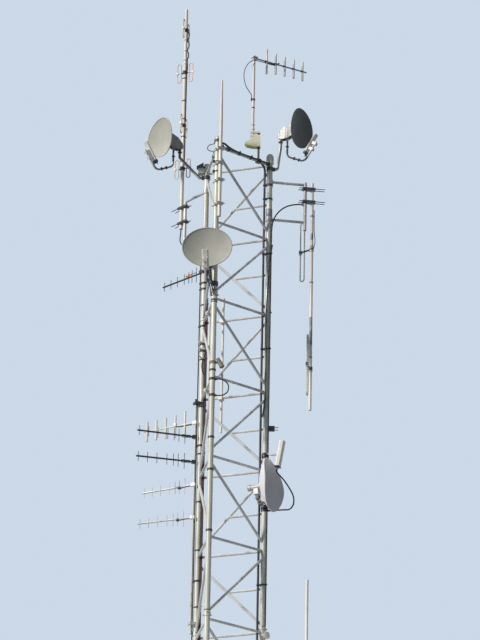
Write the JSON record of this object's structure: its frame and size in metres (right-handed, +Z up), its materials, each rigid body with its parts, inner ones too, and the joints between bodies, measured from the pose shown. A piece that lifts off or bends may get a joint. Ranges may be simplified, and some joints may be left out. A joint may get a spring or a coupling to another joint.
{
  "type": "lattice radio mast",
  "caption": "Three-legged lattice mast of steel tube with microwave dishes, yagis, folded dipole arrays and whip antennas clamped round it",
  "frame": {"origin": "centre of the underside of the front leg's base plate", "axes": "+Z up, +Y from the front leg towards the middle of the rear face, +X to the right as seen from the front"},
  "size_m": [2.2659, 1.7573, 9.786],
  "materials": {
    "leg_steel": "dull, weathered galvanised tube",
    "brace_steel": "dull, weathered galvanised tube",
    "bracket_steel": "dull galvanised, with some rust",
    "mast_paint": "satin, warm off-white",
    "dark_steel": "matte, dirty black with rust",
    "black_plastic": "satin black",
    "dish_paint": "matte grey",
    "large_dish_paint": "matte pale grey",
    "radio_plastic": "matte off-white",
    "cable_rubber": "matte black"
  },
  "bodies": {
    "root": {"legs_top_section": "leg_steel", "legs_middle_section": "leg_steel", "legs_base_section": "leg_steel", "bracing_left_face": "brace_steel", "bracing_rear_face": "brace_steel", "bracing_right_face": "brace_steel", "left_array_mast": "mast_paint", "left_array_dipoles": "dark_steel", "left_array_bracket": "bracket_steel", "right_array_mast": "mast_paint", "right_array_dipoles": "bracket_steel", "right_array_bracket": "bracket_steel", "main_whip": "mast_paint", "main_whip_clamps": "dark_steel", "top_yagi_mast": "mast_paint", "top_yagi": "mast_paint", "top_yagi_bracket": "mast_paint", "top_yagi_post": "bracket_steel", "small_reflectors": "dish_paint", "small_brackets": "bracket_steel", "small_radios": "radio_plastic", "large_reflector": "large_dish_paint", "large_bracket": "bracket_steel", "large_radio": "radio_plastic", "feed_arms": "bracket_steel", "dish_pipes": "bracket_steel", "dish_pipe_clamps": "dark_steel", "left_yagi_pipe": "bracket_steel", "black_yagis": "black_plastic", "steel_yagis": "bracket_steel", "thick_yagi": "mast_paint", "inner_whips": "mast_paint", "lower_whip": "mast_paint", "lower_whip_arms": "bracket_steel", "corner_box": "dark_steel", "leg_instruments": "dark_steel", "cable_clamps": "dark_steel", "leg_feeders": "cable_rubber", "top_face_cord": "cable_rubber", "leg_top_cord": "cable_rubber", "top_yagi_cord": "cable_rubber", "right_array_cord": "cable_rubber", "left_array_cord": "cable_rubber", "large_dish_cord": "cable_rubber", "inner_loop_cord": "cable_rubber"}
  },
  "joints": []
}
